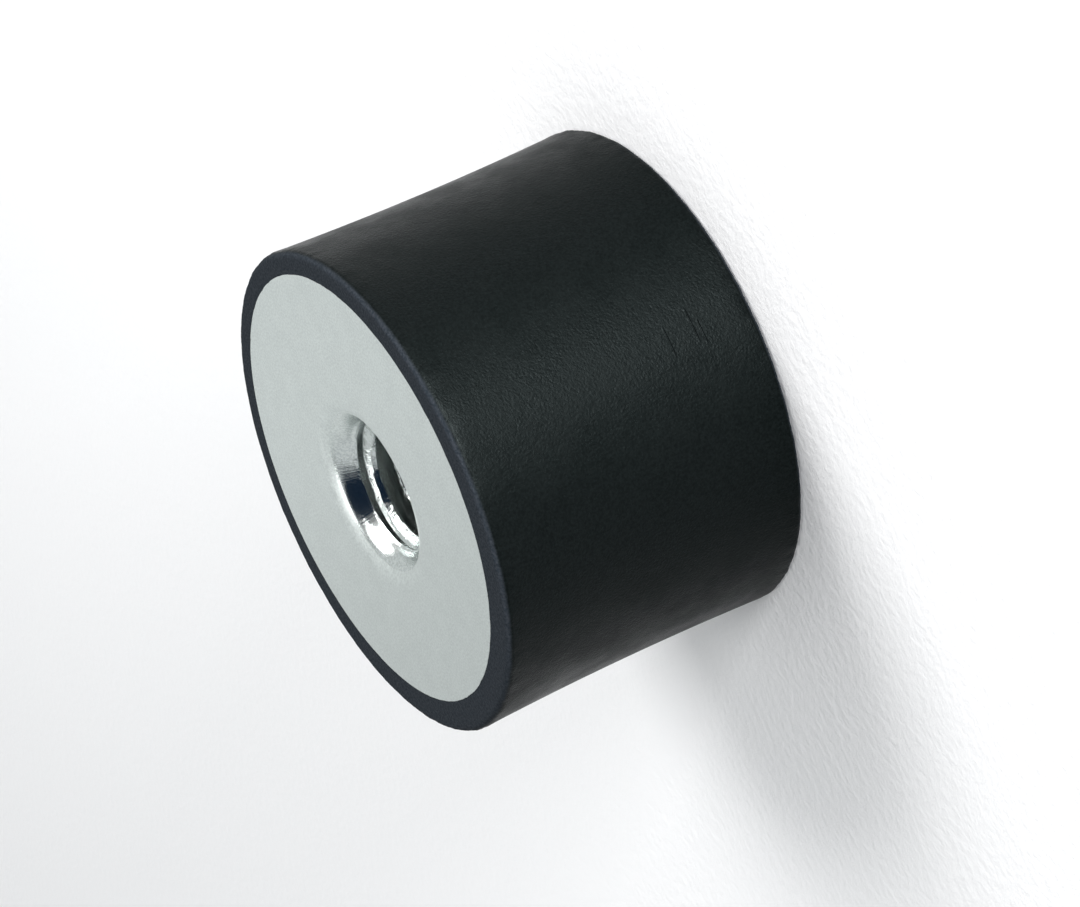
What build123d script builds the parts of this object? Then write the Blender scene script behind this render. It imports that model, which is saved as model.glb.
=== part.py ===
from build123d import *
from math import radians, tan
import os

# Bobbin vibration mount: a rubber cylinder moulded onto a threaded steel plate at each end.
# Millimetres. The origin is the centre of the lower end face, and +Z runs along the axis.

os.makedirs("parts", exist_ok=True)

# Rubber body
body_diameter = 30.0
body_height = 20.0
waist_depth = 0.2  # how far the side curves in at mid-height
body_edge_radius = 0.4
rubber_rim_width = 1.7  # ring of rubber round each plate, flush with its face
rubber_core_height = 6.0  # rubber left between the two hubs

# Steel end plates, each formed in one piece with its hub
plate_thickness = 2.0
plate_edge_radius = 0.3  # on the plate's inner edge, under the rubber
hub_wall = 2.6
hub_root_radius = 0.8
hub_end_chamfer = 0.4

# Hole for an M8 screw, at the size that the tapping drill leaves
thread_diameter = 8.0
thread_pitch = 1.25
lead_in_angle = 60.0  # full angle of the cone that leads the screw into the thread
lead_in_depth = 2.54  # from the end face to where the cone has narrowed to the thread
mouth_bend_radius = 2.0  # where the flat turns down into the cone

body_radius = body_diameter / 2
plate_radius = body_radius - rubber_rim_width
bore_radius = (thread_diameter - thread_pitch) / 2
lead_in_radius = bore_radius + lead_in_depth * tan(radians(lead_in_angle / 2))
hub_radius = bore_radius + hub_wall
hub_depth = (body_height - rubber_core_height) / 2  # from the end face to the hub's inner end
mid_plane = Plane.XY.offset(body_height / 2)
upper_face = Plane.XY.offset(body_height)

# Blank of the upper plate before it is bored: a disc with its hub pointing into the rubber.
# The rubber is moulded against this outside, so the blank also cuts the rubber's recesses.
with BuildPart() as plate_blank:
    with BuildSketch(upper_face):
        Circle(plate_radius)
    extrude(amount=-plate_thickness)
    disc_back = plate_blank.faces().sort_by(Axis.Z)[0]
    fillet(disc_back.edges(), radius=plate_edge_radius)
    with BuildSketch(upper_face.offset(-plate_thickness)):
        Circle(hub_radius)
    extrude(amount=plate_thickness - hub_depth)
    hub_end = plate_blank.faces().sort_by(Axis.Z)[0]
    chamfer(hub_end.edges(), length=hub_end_chamfer)
    disc_back_height = body_height - plate_thickness
    disc_back_edges = plate_blank.edges().filter_by_position(Axis.Z, disc_back_height, disc_back_height)
    hub_root = disc_back_edges.sort_by(SortBy.RADIUS)[0]
    fillet(hub_root, radius=hub_root_radius)

# Upper plate: the flat turns down through a wide bend into a lead-in cone, and the hole then
# runs right through the hub. The thread itself is left as its plain wall.
with BuildPart() as upper_end_plate:
    add(plate_blank.part)
    with Locations((0, 0, body_height)):
        CounterSinkHole(
            radius=bore_radius,
            counter_sink_radius=lead_in_radius,
            depth=hub_depth,
            counter_sink_angle=lead_in_angle,
        )
    mouth_edge = upper_end_plate.faces().sort_by(Axis.Z)[-1].inner_wires().edges()
    fillet(mouth_edge, radius=mouth_bend_radius)
upper_end_plate.part.label = "upper_end_plate"

# Lower plate: the same pressing, turned over and set in the other end.
with BuildPart() as lower_end_plate:
    mirror(upper_end_plate.part, about=mid_plane)
lower_end_plate.part.label = "lower_end_plate"

# Rubber body: one moulding, slightly waisted, that fills the space round and between the two
# plates and closes the inner end of each hole.
with BuildPart() as rubber_body:
    with BuildSketch(Plane.XZ) as half_section:
        with BuildLine():
            Polyline((body_radius, 0), (0, 0), (0, body_height), (body_radius, body_height))
            ThreePointArc(
                (body_radius, body_height),
                (body_radius - waist_depth, body_height / 2),
                (body_radius, 0),
            )
        make_face()
        outer_corners = half_section.vertices().group_by(Axis.X)[-1]
        fillet(outer_corners, radius=body_edge_radius)
    revolve(axis=Axis.Z)
    add(plate_blank.part, mode=Mode.SUBTRACT)
    mirror(plate_blank.part, about=mid_plane, mode=Mode.SUBTRACT)
rubber_body.part.label = "rubber_body"

for piece in (rubber_body, upper_end_plate, lower_end_plate):
    export_step(piece.part, f"parts/{piece.part.label}.step")
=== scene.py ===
from math import ceil, cos, degrees, pi, radians, sin, sqrt, tan

import bmesh
import bpy
from mathutils import Matrix, Vector, noise


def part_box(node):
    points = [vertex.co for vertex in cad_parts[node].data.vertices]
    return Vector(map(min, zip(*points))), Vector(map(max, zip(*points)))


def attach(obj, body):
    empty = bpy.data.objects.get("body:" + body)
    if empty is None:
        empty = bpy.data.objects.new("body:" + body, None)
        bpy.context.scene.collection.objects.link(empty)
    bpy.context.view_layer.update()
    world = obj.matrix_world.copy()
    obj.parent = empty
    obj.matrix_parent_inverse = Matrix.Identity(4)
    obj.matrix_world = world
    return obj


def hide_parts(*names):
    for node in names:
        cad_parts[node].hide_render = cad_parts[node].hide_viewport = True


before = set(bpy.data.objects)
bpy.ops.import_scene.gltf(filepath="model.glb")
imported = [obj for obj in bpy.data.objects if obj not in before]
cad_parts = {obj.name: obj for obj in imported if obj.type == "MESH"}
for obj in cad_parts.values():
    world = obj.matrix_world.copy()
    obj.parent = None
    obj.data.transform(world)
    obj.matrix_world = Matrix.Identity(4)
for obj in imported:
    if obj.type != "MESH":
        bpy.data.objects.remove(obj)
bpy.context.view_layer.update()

# ---------------------------------------------------------------------------------------------
# End plates. Each is one steel pressing: a flat disc whose middle is drawn inwards into a hub
# and tapped M8. It is zinc plated, satin on the flat and bright where the punch has drawn the
# metal round into the mouth of the hole.
# ---------------------------------------------------------------------------------------------
around = 384  # steps round the axis, for every turned surface

plate_low, plate_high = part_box("upper_end_plate")
plate_radius = (plate_high.x - plate_low.x) / 2
hub_depth = plate_high.z - plate_low.z
disc_thickness = 0.0020
disc_back_edge = 0.0003
plate_shift = (0.000319, 0.000056)  # how far the disc sits off the rubber's axis, as bonded
shifted_from = 0.010  # only what lies further out than this is shifted, so the hole stays true
hub_radius = 0.005975
hub_root = 0.0008
hub_end_chamfer = 0.0004

mouth_bend = 0.0020  # radius of the bend where the flat turns down into the mouth
lead_in_depth = 0.00254  # where the cone below the bend has narrowed to the drilled hole
lead_in_half_angle = radians(30)
drill_radius = 0.003375
pitch = 0.00125
thread_root_radius = 0.00405
root_flat = 0.0004  # width of the flat at the bottom of the thread's groove
thread_angle = radians(60)
thread_start = 0.97  # turns
steps_per_pitch = 32
bend_steps = 24
disc_edge_steps = 4
hub_root_steps = 6
crease_angle = radians(24)  # corners sharper than this are left unsmoothed


def arc_points(centre_r, centre_depth, radius, start, end, steps):
    """Points (radius from the axis, depth) along an arc, with angles in degrees."""
    points = []
    for i in range(steps + 1):
        angle = radians(start + (end - start) * i / steps)
        points.append((centre_r + radius * cos(angle), centre_depth + radius * sin(angle)))
    return points


def turned_surface(mesh, profile, shift_from=1.0, shift=(0, 0)):
    """Adds the surface that a profile of (radius, depth) points sweeps round the axis.

    Points further out than shift_from are moved sideways by shift.
    """
    rings = []
    for radius, depth in profile:
        off_x, off_y = shift if radius > shift_from else (0, 0)
        if radius == 0:
            rings.append([mesh.verts.new((0, 0, depth))] * around)
            continue
        ring = []
        for i in range(around):
            angle = 2 * pi * i / around
            x = radius * cos(angle) + off_x
            y = radius * sin(angle) + off_y
            ring.append(mesh.verts.new((x, y, depth)))
        rings.append(ring)
    for inner, outer in zip(rings, rings[1:]):
        for i in range(around):
            j = (i + 1) % around
            corners = list(dict.fromkeys([inner[i], inner[j], outer[j], outer[i]]))
            mesh.faces.new(corners)


def link(tree, value, socket):
    """Feeds a socket with a number, a tuple or another node's output."""
    if isinstance(value, (int, float, tuple)):
        socket.default_value = value
    else:
        tree.links.new(value, socket)


def calc(tree, operation, *values):
    """One Math node, fed with numbers or outputs."""
    node = tree.nodes.new("ShaderNodeMath")
    node.operation = operation
    for socket, value in zip(node.inputs, values):
        link(tree, value, socket)
    return node.outputs[0]


# The tapped wall is a grid wrapped round the axis. One side of the grid runs once round the
# hole while its rows rise by one pitch, so every row follows the thread.
tapped_wall = bpy.data.node_groups.new("tapped_wall", "GeometryNodeTree")
tapped_wall.is_modifier = True
tapped_wall.interface.new_socket("Geometry", in_out="OUTPUT", socket_type="NodeSocketGeometry")
thread_inputs = {}
for label, kind in (
    ("Steps round", "NodeSocketInt"),
    ("Steps down", "NodeSocketInt"),
    ("Row spacing", "NodeSocketFloat"),
    ("Pitch", "NodeSocketFloat"),
    ("Top depth", "NodeSocketFloat"),
    ("Bottom depth", "NodeSocketFloat"),
    ("Mouth radius", "NodeSocketFloat"),
    ("Lead-in slope", "NodeSocketFloat"),
    ("Drill radius", "NodeSocketFloat"),
    ("Root radius", "NodeSocketFloat"),
    ("Sharp root radius", "NodeSocketFloat"),
    ("Start turn", "NodeSocketFloat"),
    ("Plating", "NodeSocketMaterial"),
):
    thread_inputs[label] = tapped_wall.interface.new_socket(label, in_out="INPUT", socket_type=kind)
given = tapped_wall.nodes.new("NodeGroupInput").outputs
grid = tapped_wall.nodes.new("GeometryNodeMeshGrid")
grid.inputs["Size X"].default_value = 1
grid.inputs["Size Y"].default_value = 1
tapped_wall.links.new(calc(tapped_wall, "ADD", given["Steps round"], 1), grid.inputs["Vertices X"])
tapped_wall.links.new(calc(tapped_wall, "ADD", given["Steps down"], 1), grid.inputs["Vertices Y"])
position = tapped_wall.nodes.new("GeometryNodeInputPosition")
split = tapped_wall.nodes.new("ShaderNodeSeparateXYZ")
tapped_wall.links.new(position.outputs[0], split.inputs[0])
turn = calc(tapped_wall, "ADD", split.outputs["X"], 0.5)
down = calc(tapped_wall, "ADD", split.outputs["Y"], 0.5)
span = calc(tapped_wall, "MULTIPLY", given["Steps down"], given["Row spacing"])
along = calc(tapped_wall, "MULTIPLY_ADD", down, span, given["Top depth"])
rise = calc(tapped_wall, "MULTIPLY", turn, given["Pitch"])
depth = calc(tapped_wall, "SUBTRACT", along, rise)
depth = calc(tapped_wall, "MAXIMUM", depth, given["Top depth"])
depth = calc(tapped_wall, "MINIMUM", depth, given["Bottom depth"])
below_mouth = calc(tapped_wall, "SUBTRACT", depth, given["Top depth"])
plain = calc(tapped_wall, "MULTIPLY", below_mouth, given["Lead-in slope"])
plain = calc(tapped_wall, "SUBTRACT", given["Mouth radius"], plain)
plain = calc(tapped_wall, "MAXIMUM", plain, given["Drill radius"])
in_pitch = calc(tapped_wall, "DIVIDE", calc(tapped_wall, "ADD", depth, rise), given["Pitch"])
in_pitch = calc(tapped_wall, "ADD", in_pitch, given["Start turn"])
in_pitch = calc(tapped_wall, "FRACT", in_pitch)
off_root = calc(tapped_wall, "ABSOLUTE", calc(tapped_wall, "SUBTRACT", in_pitch, 0.5))
off_root = calc(tapped_wall, "MULTIPLY", off_root, given["Pitch"])
flank = calc(tapped_wall, "MULTIPLY", off_root, 1 / tan(thread_angle / 2))
groove = calc(tapped_wall, "SUBTRACT", given["Sharp root radius"], flank)
groove = calc(tapped_wall, "MINIMUM", groove, given["Root radius"])
wall = calc(tapped_wall, "MAXIMUM", plain, groove)
angle = calc(tapped_wall, "MULTIPLY", turn, 2 * pi)
place = tapped_wall.nodes.new("ShaderNodeCombineXYZ")
for label, wave in (("X", "COSINE"), ("Y", "SINE")):
    aside = calc(tapped_wall, "MULTIPLY", wall, calc(tapped_wall, wave, angle))
    tapped_wall.links.new(aside, place.inputs[label])
tapped_wall.links.new(depth, place.inputs["Z"])
set_position = tapped_wall.nodes.new("GeometryNodeSetPosition")
tapped_wall.links.new(grid.outputs["Mesh"], set_position.inputs["Geometry"])
tapped_wall.links.new(place.outputs[0], set_position.inputs["Position"])
realize = tapped_wall.nodes.new("GeometryNodeRealizeInstances")
tapped_wall.links.new(set_position.outputs[0], realize.inputs[0])
plated = tapped_wall.nodes.new("GeometryNodeSetMaterial")
tapped_wall.links.new(realize.outputs[0], plated.inputs["Geometry"])
tapped_wall.links.new(given["Plating"], plated.inputs["Material"])
group_output = tapped_wall.nodes.new("NodeGroupOutput")
tapped_wall.links.new(plated.outputs[0], group_output.inputs[0])


def new_material(name):
    """A material, its node tree, its shader and the object's own coordinates."""
    material = bpy.data.materials.new(name)
    material.use_nodes = True
    tree = material.node_tree
    shader = tree.nodes["Principled BSDF"]
    place = tree.nodes.new("ShaderNodeTexCoord").outputs["Object"]
    return material, tree, shader, place


def scaled(tree, vector, factors):
    """A vector or colour times another, one part at a time."""
    node = tree.nodes.new("ShaderNodeVectorMath")
    node.operation = "MULTIPLY"
    link(tree, vector, node.inputs[0])
    link(tree, factors, node.inputs[1])
    return node.outputs[0]


def speckle(tree, vector, scale, detail, roughness):
    """Even noise between 0 and 1, with scale features to the metre."""
    node = tree.nodes.new("ShaderNodeTexNoise")
    link(tree, vector, node.inputs["Vector"])
    node.inputs["Scale"].default_value = scale
    node.inputs["Detail"].default_value = detail
    node.inputs["Roughness"].default_value = roughness
    return node.outputs["Fac"]


def ramp(tree, value, low, high, to_low, to_high):
    """Eases from to_low to to_high while the value goes from low to high."""
    node = tree.nodes.new("ShaderNodeMapRange")
    node.interpolation_type = "SMOOTHSTEP"
    link(tree, value, node.inputs["Value"])
    ends = {"From Min": low, "From Max": high, "To Min": to_low, "To Max": to_high}
    for label, number in ends.items():
        link(tree, number, node.inputs[label])
    return node.outputs["Result"]


def blend(tree, amount, first, second):
    """The first colour at 0 and the second at 1. Each is three numbers or a node's output."""
    node = tree.nodes.new("ShaderNodeMix")
    node.data_type = "RGBA"
    link(tree, amount, node.inputs["Factor"])
    for label, colour in (("A", first), ("B", second)):
        if isinstance(colour, tuple):
            colour = (*colour, 1)
        link(tree, colour, node.inputs[label])
    return node.outputs["Result"]


def raised(tree, height, distance, strength, below=None):
    """A bumpy surface normal, laid over the bumps below it."""
    node = tree.nodes.new("ShaderNodeBump")
    node.inputs["Distance"].default_value = distance
    node.inputs["Strength"].default_value = strength
    link(tree, height, node.inputs["Height"])
    if below is not None:
        tree.links.new(below, node.inputs["Normal"])
    return node.outputs["Normal"]


def out_from_axis(tree, place):
    """The distance from the axis, and the unit vector that points away from it."""
    flat = scaled(tree, place, (1, 1, 0))
    length = tree.nodes.new("ShaderNodeVectorMath")
    length.operation = "LENGTH"
    tree.links.new(flat, length.inputs[0])
    unit = tree.nodes.new("ShaderNodeVectorMath")
    unit.operation = "NORMALIZE"
    tree.links.new(flat, unit.inputs[0])
    return length.outputs["Value"], unit.outputs["Vector"]


bright_to = 0.0048  # how far out from the axis the drawn mouth stays bright
satin_from = 0.0051
bright_roughness = 0.15
torn_to = 0.00400  # how far out the metal is torn by the tap
smooth_from = 0.00415
dull_zinc = (0.59, 0.63, 0.62)
clean_zinc = (0.71, 0.755, 0.74)


def zinc_plating(name):
    """Satin zinc on the flat, bright and finely scored where the mouth was drawn, with painted
    shade darkening it towards the -x side.
    """
    material, tree, shader, place = new_material(name)
    from_axis, outward = out_from_axis(tree, place)
    flat = ramp(tree, from_axis, bright_to, satin_from, 0, 1)
    cloud = speckle(tree, place, 700, 3, 0.5)
    grain = speckle(tree, place, 7000, 3, 0.65)
    mottle = calc(tree, "MULTIPLY_ADD", grain, 0.85, calc(tree, "MULTIPLY", cloud, 0.15))
    shader.inputs["Metallic"].default_value = 1.0
    across = tree.nodes.new("ShaderNodeSeparateXYZ")
    tree.links.new(place, across.inputs[0])
    # Painted shade: the base colour darkens across the plate towards the -x side, down to 0.85 of
    # itself at the edge, where less light falls.
    painted_shade_across = ramp(tree, across.outputs["X"], -plate_radius, plate_radius * 0.6, 0.85, 1.0)
    zinc = blend(tree, ramp(tree, mottle, 0.38, 0.62, 0, 1), dull_zinc, clean_zinc)
    tree.links.new(scaled(tree, zinc, painted_shade_across), shader.inputs["Base Color"])
    satin = ramp(tree, mottle, 0.3, 0.7, 0.36, 0.46)
    duller = calc(tree, "SUBTRACT", satin, bright_roughness)
    roughness = calc(tree, "MULTIPLY_ADD", duller, flat, bright_roughness)
    tree.links.new(roughness, shader.inputs["Roughness"])
    scoring = speckle(tree, outward, 45, 4, 0.7)
    scored = calc(tree, "MULTIPLY", scoring, calc(tree, "SUBTRACT", 1, flat))
    torn = speckle(tree, place, 1300, 3, 0.6)
    torn = calc(tree, "MULTIPLY", torn, ramp(tree, from_axis, torn_to, smooth_from, 1, 0))
    normal = raised(tree, torn, 0.00020, 0.5)
    normal = raised(tree, scored, 0.00012, 0.15, normal)
    normal = raised(tree, calc(tree, "MULTIPLY", mottle, flat), 0.00003, 0.25, normal)
    tree.links.new(normal, shader.inputs["Normal"])
    return material


def end_plate(name, node, face_z, inward, plating):
    """One plate, built mouth upwards from depths, then set at its own end of the mount."""
    cone_at_face = drill_radius + lead_in_depth * tan(lead_in_half_angle)
    bend_centre = cone_at_face + mouth_bend * tan((pi / 2 - lead_in_half_angle) / 2)
    wall_top = mouth_bend * (1 - sin(lead_in_half_angle))
    wall_top_radius = bend_centre - mouth_bend * cos(lead_in_half_angle)

    maker_object = bpy.data.objects.new(name + "_thread", bpy.data.meshes.new(name + "_thread"))
    bpy.context.scene.collection.objects.link(maker_object)
    maker = maker_object.modifiers.new("tapped_wall", "NODES")
    maker.node_group = tapped_wall
    row_spacing = pitch / steps_per_pitch
    sizes = {
        "Steps round": around,
        "Steps down": ceil((hub_depth - wall_top) / row_spacing) + steps_per_pitch,
        "Row spacing": row_spacing,
        "Pitch": pitch,
        "Top depth": wall_top,
        "Bottom depth": hub_depth,
        "Mouth radius": wall_top_radius,
        "Lead-in slope": tan(lead_in_half_angle),
        "Drill radius": drill_radius,
        "Root radius": thread_root_radius,
        "Sharp root radius": thread_root_radius + root_flat / 2 / tan(thread_angle / 2),
        "Start turn": thread_start,
        "Plating": plating,
    }
    for label, value in sizes.items():
        maker[thread_inputs[label].identifier] = value
    bpy.context.view_layer.update()
    evaluated = maker_object.evaluated_get(bpy.context.evaluated_depsgraph_get())
    wall_mesh = bpy.data.meshes.new_from_object(evaluated)
    maker_object.modifiers.remove(maker)
    bpy.data.objects.remove(maker_object)

    shape = bmesh.new()
    shape.from_mesh(wall_mesh)
    bend_start = 180 + degrees(lead_in_half_angle)
    edge_centre_r = plate_radius - disc_back_edge
    edge_centre_z = disc_thickness - disc_back_edge
    root_centre_r = hub_radius + hub_root
    root_centre_z = disc_thickness + hub_root
    profile = arc_points(bend_centre, mouth_bend, mouth_bend, bend_start, 270, bend_steps)
    profile += [(plate_radius, 0.0), (plate_radius, edge_centre_z)]
    profile += arc_points(edge_centre_r, edge_centre_z, disc_back_edge, 0, 90, disc_edge_steps)
    profile += arc_points(root_centre_r, root_centre_z, hub_root, 270, 180, hub_root_steps)
    profile += [(hub_radius, hub_depth - hub_end_chamfer)]
    profile += [(hub_radius - hub_end_chamfer, hub_depth)]
    turned_surface(shape, profile, shift_from=shifted_from, shift=plate_shift)
    bmesh.ops.remove_doubles(shape, verts=shape.verts, dist=1e-7)
    bmesh.ops.bridge_loops(shape, edges=[e for e in shape.edges if e.is_boundary])
    for vertex in shape.verts:
        vertex.co.y *= -inward
        vertex.co.z = face_z + inward * vertex.co.z
    bmesh.ops.recalc_face_normals(shape, faces=shape.faces)
    mesh = bpy.data.meshes.new(name)
    shape.to_mesh(mesh)
    shape.free()
    mesh.materials.clear()
    mesh.materials.append(plating)
    for face in mesh.polygons:
        face.material_index = 0
        face.use_smooth = True
    mesh.set_sharp_from_angle(angle=crease_angle)
    piece = bpy.data.objects.new(name, mesh)
    bpy.context.scene.collection.objects.link(piece)
    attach(piece, "root")
    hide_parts(node)


plating = zinc_plating("zinc_plating")
end_plate("upper_plate", "upper_end_plate", plate_high.z, -1, plating)
end_plate("lower_plate", "lower_end_plate", 0.0, 1, plating)

# ---------------------------------------------------------------------------------------------
# Rubber body. Black natural rubber, moulded and bonded onto both plates in one shot. It is
# flush with their faces, curves in slightly at the waist and fills the space round the hubs.
# ---------------------------------------------------------------------------------------------
body_low, body_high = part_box("rubber_body")
body_height = body_high.z - body_low.z
body_radius = (body_high.x - body_low.x) / 2
body_mid = (body_high.z + body_low.z) / 2
waist_depth = 0.0002
body_edge = 0.0004
edge_wander = 0.000045  # how far the rubber's trimmed edges stray
side_steps = 24
ring_steps = 4
body_edge_steps = 8


def rubber_profile():
    """The lower half of the section, from the axis at the hub's end out to the rounded edge."""
    half = [(0, hub_depth), (hub_radius - hub_end_chamfer, hub_depth)]
    half += [(hub_radius, hub_depth - hub_end_chamfer), (hub_radius, disc_thickness)]
    half += [(plate_radius, disc_thickness), (plate_radius, 0.0)]
    ring_width = body_radius - body_edge - plate_radius
    half += [(plate_radius + ring_width * i / ring_steps, 0.0) for i in range(1, ring_steps)]
    half += arc_points(body_radius - body_edge, body_edge, body_edge, 270, 360, body_edge_steps)
    return half


lower_half = rubber_profile()
side = []
for i in range(1, side_steps):
    z = body_edge + (body_height - 2 * body_edge) * i / side_steps
    swell = (z - body_mid) / (body_height / 2 - body_edge)
    side.append((body_radius - waist_depth * (1 - swell * swell), z))
upper_half = [(radius, body_height - z) for radius, z in reversed(lower_half)]
near_edge = body_edge * 1.2
shape = bmesh.new()
turned_surface(shape, lower_half + side + upper_half)
for vertex in shape.verts:
    from_axis = sqrt(vertex.co.x ** 2 + vertex.co.y ** 2)
    from_mid = abs(vertex.co.z - body_mid)
    at_face = from_mid > body_height / 2 - 1e-6
    at_recess = abs(from_axis - plate_radius) < 1e-5
    at_side = from_axis > body_radius - near_edge
    at_end = from_mid > body_height / 2 - near_edge
    if (at_side and at_end) or (at_recess and at_face):
        stray = noise.noise(vertex.co * 1100) + 0.7 * noise.noise(vertex.co * 3500)
        reach = 1 + edge_wander * stray / from_axis
        vertex.co.x *= reach
        vertex.co.y *= reach
    if at_recess:
        vertex.co.x += plate_shift[0]
        vertex.co.y += plate_shift[1] if vertex.co.z > body_mid else -plate_shift[1]
bmesh.ops.recalc_face_normals(shape, faces=shape.faces)
rubber_mesh = bpy.data.meshes.new("bonded_rubber")
shape.to_mesh(rubber_mesh)
shape.free()
for face in rubber_mesh.polygons:
    face.use_smooth = True
rubber_mesh.set_sharp_from_angle(angle=radians(50))


scuffs = (  # where each lies in x and z, and half its length
    (0.0009, 0.0055, 0.0010),
    (0.0012, 0.0038, 0.0012),
    (0.0007, 0.0034, 0.0008),
)
scuff_half_width = 0.00009
end_roughness = 0.85
side_dark = (0.0002, 0.0008, 0.0008)
side_light = (0.0022, 0.0034, 0.0034)
end_dark = (0.012, 0.016, 0.021)
end_light = (0.027, 0.031, 0.038)


def scuff(tree, x, y, z, centre_x, centre_z, half_length):
    """One short scratch on the front of the side: 1 along its middle line, 0 off it."""
    along = calc(tree, "SUBTRACT", x, centre_x)
    off_line = calc(tree, "ABSOLUTE", calc(tree, "SUBTRACT", z, centre_z))
    line = ramp(tree, off_line, 0.0, scuff_half_width, 1, 0)
    ends = ramp(tree, calc(tree, "ABSOLUTE", along), half_length * 0.5, half_length, 1, 0)
    front = ramp(tree, y, -0.010, -0.008, 1, 0)
    return calc(tree, "MULTIPLY", calc(tree, "MULTIPLY", line, ends), front)


def black_rubber():
    """Moulded black rubber: a fine pebble on the side, matt and slightly grey on the ends."""
    material, tree, shader, place = new_material("black_rubber")
    split = tree.nodes.new("ShaderNodeSeparateXYZ")
    tree.links.new(place, split.inputs[0])
    x, y, z = split.outputs
    from_mid = calc(tree, "ABSOLUTE", calc(tree, "SUBTRACT", z, body_mid))
    end = ramp(tree, from_mid, body_height / 2 - 0.0003, body_height / 2 - 0.00005, 0, 1)
    cloud = speckle(tree, place, 350, 3, 0.6)
    pebble = speckle(tree, place, 7000, 3, 0.6)
    grain = ramp(tree, speckle(tree, place, 6500, 3, 0.65), 0.35, 0.65, 0, 1)
    side_colour = blend(tree, grain, side_dark, side_light)
    end_colour = blend(tree, grain, end_dark, end_light)
    tree.links.new(blend(tree, end, side_colour, end_colour), shader.inputs["Base Color"])
    side_roughness = ramp(tree, cloud, 0.3, 0.7, 0.35, 0.47)
    duller = calc(tree, "SUBTRACT", end_roughness, side_roughness)
    roughness = calc(tree, "MULTIPLY_ADD", duller, end, side_roughness)
    tree.links.new(roughness, shader.inputs["Roughness"])
    shader.inputs["Specular IOR Level"].default_value = 0.075
    shader.inputs["Specular Tint"].default_value = (0.86, 1.0, 1.0, 1)
    orange_peel = speckle(tree, place, 1500, 3, 0.6)
    scratched = 0.0
    for centre_x, centre_z, half_length in scuffs:
        mark = scuff(tree, x, y, z, centre_x, centre_z, half_length)
        scratched = calc(tree, "ADD", scratched, mark)
    trimmed = calc(tree, "MULTIPLY", speckle(tree, place, 3000, 3, 0.6), end)
    normal = raised(tree, trimmed, 0.00010, 0.6)
    normal = raised(tree, scratched, 0.00008, 0.6, normal)
    normal = raised(tree, orange_peel, 0.00010, 0.22, normal)
    normal = raised(tree, pebble, 0.00005, 0.6, normal)
    tree.links.new(normal, shader.inputs["Normal"])
    return material


rubber_mesh.materials.append(black_rubber())
rubber = bpy.data.objects.new("bonded_rubber", rubber_mesh)
bpy.context.scene.collection.objects.link(rubber)
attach(rubber, "root")
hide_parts("rubber_body")

# ---------------------------------------------------------------------------------------------
# Bench. A large sheet of white paper with a fine tooth, on which the mount stands on its end.
# ---------------------------------------------------------------------------------------------
bench_half = 1.5
bench_mesh = bpy.data.meshes.new("bench")
corners = [(x * bench_half, y * bench_half, 0) for x, y in ((-1, -1), (1, -1), (1, 1), (-1, 1))]
bench_mesh.from_pydata(corners, [], [(0, 1, 2, 3)])
bench = bpy.data.objects.new("bench", bench_mesh)
bpy.context.scene.collection.objects.link(bench)
paper, tree, shader, place = new_material("white_paper")
shader.inputs["Base Color"].default_value = (0.86, 0.86, 0.865, 1)
shader.inputs["Roughness"].default_value = 0.9
shader.inputs["Specular IOR Level"].default_value = 0.1
tooth = speckle(tree, place, 1400, 3, 0.6)
tree.links.new(raised(tree, tooth, 0.00015, 0.30), shader.inputs["Normal"])
bench_mesh.materials.append(paper)

# ---------------------------------------------------------------------------------------------
# Light. A grey room, brighter behind the mount, with a pale screen on the left and a paler one on
# the right, a bright panel overhead and a dark hood high in front, all of which the bright mouth
# of the hole shows. A softbox stands high on the right, and a small low lamp in front.
# ---------------------------------------------------------------------------------------------
world = bpy.data.worlds.new("studio")
bpy.context.scene.world = world
world.use_nodes = True
tree = world.node_tree
background = tree.nodes["Background"]
way = tree.nodes.new("ShaderNodeTexCoord").outputs["Generated"]


def facing(direction, begins, full):
    """0 where a ray is further off the direction than the first angle, 1 within the second."""
    toward = tree.nodes.new("ShaderNodeVectorMath")
    toward.operation = "DOT_PRODUCT"
    tree.links.new(way, toward.inputs[0])
    toward.inputs[1].default_value = Vector(direction).normalized()
    return ramp(tree, toward.outputs["Value"], cos(radians(begins)), cos(radians(full)), 0, 1)


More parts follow.
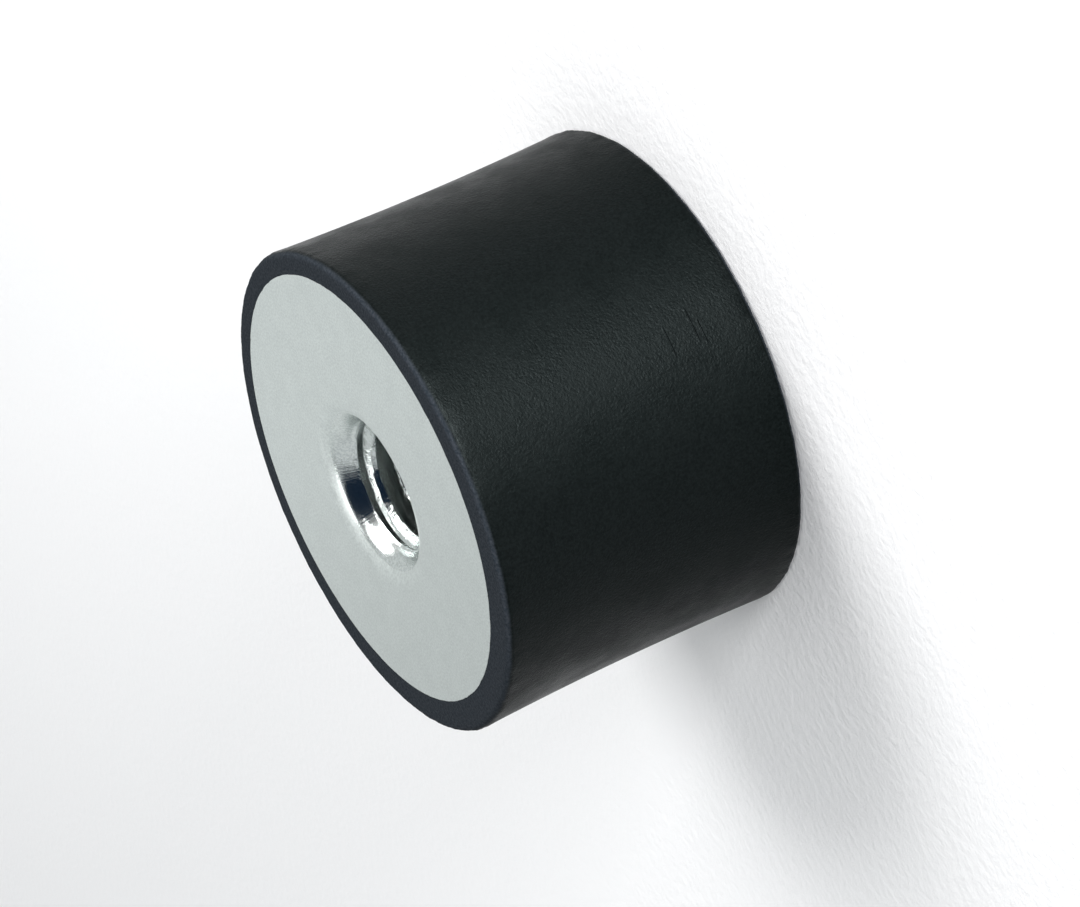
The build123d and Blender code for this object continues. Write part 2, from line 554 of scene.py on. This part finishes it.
shade = (0.18, 0.19, 0.20)
lit_wall = (0.76, 0.785, 0.785)
surfaces = (  # the way to each, the angles off it where it begins and is full, and its colour
    ((-0.8, -0.35, 0.45), 46, 38, (0.70, 0.72, 0.73)),
    ((0.78, -0.40, 0.45), 46, 36, (0.98, 0.96, 0.95)),
    ((-0.03, 0.05, 1), 17, 14, (3.0, 3.0, 3.0)),
    ((-0.04, -0.66, 0.75), 41, 38, (0.008, 0.018, 0.036)),
)
room = blend(tree, facing((0, 1, 0.3), 80, 48), shade, lit_wall)
for direction, begins, full, colour in surfaces:
    room = blend(tree, facing(direction, begins, full), room, colour)
tree.links.new(room, background.inputs["Color"])
background.inputs["Strength"].default_value = 1.0


def softbox(name, width, height, power, azimuth, elevation, distance):
    """A rectangular lamp, turned to the middle of the mount. The two angles are in radians."""
    lamp = bpy.data.lights.new(name, "AREA")
    lamp.shape = "RECTANGLE"
    lamp.size = width
    lamp.size_y = height
    lamp.energy = power
    stand = bpy.data.objects.new(name, lamp)
    stand.location = (
        distance * cos(azimuth) * cos(elevation),
        distance * sin(azimuth) * cos(elevation),
        distance * sin(elevation),
    )
    toward = Vector((0, 0, body_mid)) - stand.location
    stand.rotation_euler = toward.to_track_quat("-Z", "Y").to_euler()
    bpy.context.scene.collection.objects.link(stand)


softbox("key_softbox", 0.18, 0.18, 1.0, radians(-5), radians(44), 0.38)
softbox("low_lamp", 0.07, 0.03, 1.4, radians(-80), radians(5.5), 0.26)

# ---------------------------------------------------------------------------------------------
# Camera. A long lens a foot away, looking down on the bench at a shallow angle. The view is
# rolled by more than a quarter turn, so that the standing mount is seen lying on its side.
# ---------------------------------------------------------------------------------------------
camera_data = bpy.data.cameras.new("camera")
camera_data.sensor_width = 36
camera_data.lens = 170.75
camera_data.clip_start = 0.01
camera = bpy.data.objects.new("camera", camera_data)
bpy.context.scene.collection.objects.link(camera)
aim = Vector((-0.001867, -0.003826, 0.010853))
elevation = radians(22.6994)
roll = radians(-114.132)
distance = 0.29539
turned = Matrix.Rotation(pi / 2 - elevation, 4, "X") @ Matrix.Rotation(roll, 4, "Z")
away = Vector((0, -cos(elevation), sin(elevation)))
camera.matrix_world = Matrix.Translation(aim + distance * away) @ turned
bpy.context.scene.camera = camera
bpy.context.scene.view_settings.view_transform = "Standard"
